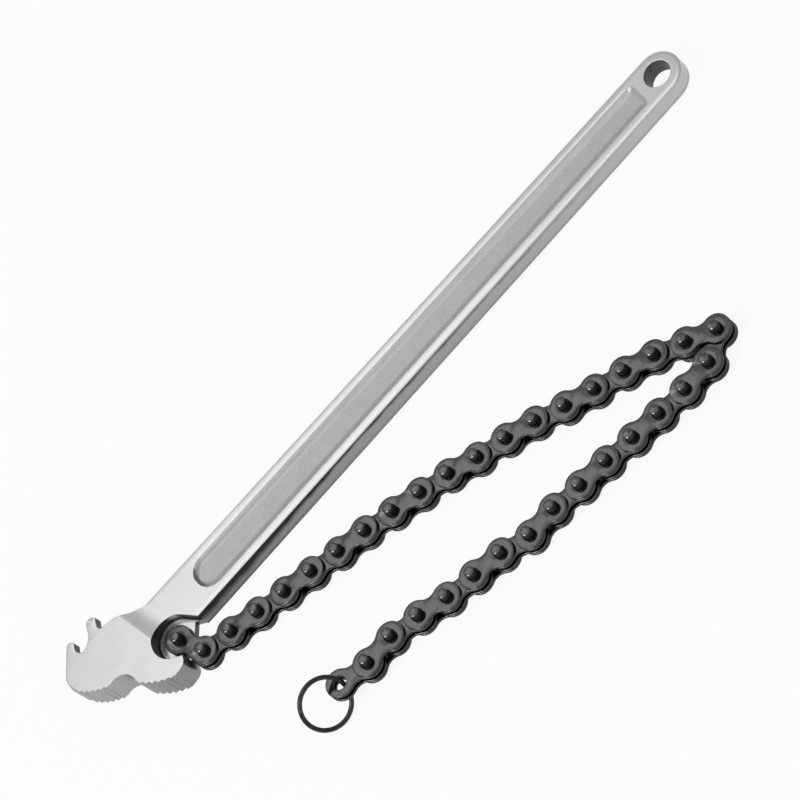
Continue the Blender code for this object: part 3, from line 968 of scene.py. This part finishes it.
def pockets(web_low, web_high, looks):
    """Cutters for the room above and below the web."""
    cutters = []
    for name, floor, mouth, upward in (("upper_pocket", web_high, head_thickness, True),
                                       ("lower_pocket", web_low, 0, False)):
        cut = recess(name, pocket_outline(), floor, mouth, pocket_fillet, pocket_rim, upward)
        # The pocket's walls and fillets take the dark steel: partly painted shade
        cutters.append(paint(cut, looks, lambda face: abs(face.normal.z) < flat_tilt))
    return cutters


def panels(bar_low, bar_high, looks):
    """Cutters for the sunk panel in each face of the bar."""
    cutters = []
    for name, floor, mouth in (("upper_panel", bar_high - panel_depth, bar_high),
                               ("lower_panel", bar_low + panel_depth, bar_low)):
        cut = dish(name, panel_outline(), panel_slopes(panel_outline()), floor, mouth)
        cutters.append(paint(cut, looks, panel_finish(floor, mouth)))
    return cutters


def one_mesh(forging, others, added):
    """The forging with other solids cut from it in turn, but for one of them that is added to it."""
    for other in others:
        step = forging.modifiers.new(other.name, "BOOLEAN")
        step.operation = "UNION" if other is added else "DIFFERENCE"
        step.solver = "EXACT"
        step.material_mode = "TRANSFER"
        step.object = other
    bpy.context.view_layer.update()
    seen = forging.evaluated_get(bpy.context.evaluated_depsgraph_get())
    data = bpy.data.meshes.new_from_object(seen)
    for solid in [forging] + others:
        bpy.data.objects.remove(solid, do_unlink=True)
    data.shade_smooth()
    data.set_sharp_from_angle(angle=math.radians(handle_crease))
    return data


def make_handle():
    """The forging: head, hooks, jaw, web and bar in one piece, with its different finishes."""
    chain = chain_heights()
    web_half = chain["inner_top"] - web_play
    web = (chain["middle"] - web_half, chain["middle"] + web_half)
    bar_low = (head_thickness - bar_thickness) / 2
    bar_faces = (bar_low, bar_low + bar_thickness)
    polished, blasted, milled, dark = polished_steel(), blasted_steel(), milled_steel(), dark_shaded_steel()
    forging = rounded_solid("forging", *head_outline(), 0, head_thickness, edge_steps)
    paint(forging, (polished, milled, dark), head_finish)
    bar = rounded_solid("bar", *bar_outline(), *bar_faces, bar_edge_steps, True)
    # The sides and the rounding below them take the flank steel, painted with shade and reflection
    paint(bar, (polished, shaded_flank_steel()), lambda face: abs(face.normal.z) < bar_wall_tilt)
    slopes = [paint(slope_cutter(name, upward), [polished])
              for name, upward in (("upper_slope", True), ("lower_slope", False))]
    hang = hole("hang_hole", Vector((hang_hole_x, 0)), hang_hole_radius, *bar_faces, hole_rim)
    bore = hole("anchor_bore", Vector((0, anchor_y)), hole_radius, *web, hole_rim / 2)
    others = slopes + [bar, paint(chain_room(), [milled])]
    # The holes' walls take the dark steel: partly painted shade
    others += [paint(cut, (polished, dark), is_wall) for cut in (hang, bore)]
    others += pockets(*web, (polished, dark)) + panels(*bar_faces, (polished, blasted, milled))
    place = Matrix.Translation(handle_origin())
    made = add_piece("forging", one_mesh(forging, others, bar), "handle", place, ["handle"])
    shading = made.modifiers.new("shading", "WEIGHTED_NORMAL")
    shading.keep_sharp = True


# Studio
def make_floor():
    """A pale floor that takes shadows, but is nearly white to the camera and in the metal."""
    size = camera_distance * floor_share
    mesh = bmesh.new()
    bmesh.ops.create_grid(mesh, x_segments=1, y_segments=1, size=size)
    floor = placed("floor", mesh)
    made, tree, shader = blank_material("floor")
    shader.inputs["Base Color"].default_value = (0.94, 0.94, 0.94, 1)
    shader.inputs["Roughness"].default_value = 0.9
    shader.inputs["Specular IOR Level"].default_value = 0
    glow = node(tree, "ShaderNodeEmission")
    rays = node(tree, "ShaderNodeLightPath").outputs
    seen = math_node(tree, "MAXIMUM", rays["Is Camera Ray"], rays["Is Glossy Ray"])
    seen = math_node(tree, "MAXIMUM", seen, rays["Is Transmission Ray"])
    blend = node(tree, "ShaderNodeMixShader")
    tree.links.new(math_node(tree, "MULTIPLY", seen, floor_glow), blend.inputs[0])
    tree.links.new(shader.outputs[0], blend.inputs[1])
    tree.links.new(glow.outputs[0], blend.inputs[2])
    tree.links.new(blend.outputs[0], tree.nodes["Material Output"].inputs["Surface"])
    floor.data.materials.append(made)


def make_world():
    """Soft light from all round, stronger from behind: white horizon, grey walls, bright ceiling."""
    world = bpy.data.worlds.new("studio")
    bpy.context.scene.world = world
    world.use_nodes = True
    tree = world.node_tree
    background = tree.nodes["Background"]
    background.inputs["Color"].default_value = (1, 1, 1, 1)
    place = node(tree, "ShaderNodeTexCoord")
    axes = node(tree, "ShaderNodeSeparateXYZ")
    tree.links.new(place.outputs["Generated"], axes.inputs[0])
    sky = node(tree, "ShaderNodeValToRGB")
    stops = sky.color_ramp.elements
    stops[0].position, stops[0].color = 0, (sky_shares[0][1],) * 3 + (1,)
    stops.remove(stops[1])
    for height, light in sky_shares[1:]:
        stops.new(height).color = (light,) * 3 + (1,)
    tree.links.new(axes.outputs["Z"], sky.inputs["Fac"])
    behind = spread(tree, axes.outputs["Y"], front_share, back_share, -1, 1)
    glow = math_node(tree, "MULTIPLY", sky.outputs["Color"], behind)
    tree.links.new(glow, background.inputs["Strength"])


def add_lamp(name, place, aim, size, power):
    """A square soft lamp pointed at a spot."""
    data = bpy.data.lights.new(name, "AREA")
    data.size = size
    data.energy = power
    lamp = bpy.data.objects.new(name, data)
    bpy.context.scene.collection.objects.link(lamp)
    lamp.location = place
    lamp.rotation_mode = "QUATERNION"
    lamp.rotation_quaternion = (aim - place).to_track_quat("-Z", "Y")


def make_lamps():
    """A key lamp beyond the head, and a softbox that the head mirrors more than the far end does."""
    add_lamp("key", key_place, Vector((0, 0, 0)), key_size, key_power)
    add_lamp("softbox", softbox_place, softbox_aim, softbox_size, softbox_power)


def make_camera():
    """The photograph's camera: a long lens looking down across the wrench."""
    azimuth, elevation, roll = (math.radians(value) for value in
                                (camera_azimuth, camera_elevation, camera_roll))
    forward = Vector((-math.sin(azimuth) * math.cos(elevation), math.cos(azimuth) * math.cos(elevation),
                      -math.sin(elevation)))
    level = Vector((math.cos(azimuth), math.sin(azimuth), 0))
    down = forward.cross(level)
    right = math.cos(roll) * level - math.sin(roll) * down
    below = math.sin(roll) * level + math.cos(roll) * down
    data = bpy.data.cameras.new("camera")
    data.sensor_width = sensor_width
    data.lens = focal_pixels / picture_pixels * sensor_width
    data.clip_end = camera_distance * clip_share
    camera = bpy.data.objects.new("camera", data)
    bpy.context.scene.collection.objects.link(camera)
    place = handle_origin() + camera_target - forward * camera_distance
    turn = Matrix((right, -below, -forward)).transposed().to_4x4()
    camera.matrix_world = Matrix.Translation(place) @ turn
    bpy.context.scene.camera = camera


make_chain()
make_ring()
make_handle()
make_floor()
make_world()
make_lamps()
make_camera()
bpy.context.scene.view_settings.view_transform = "Standard"
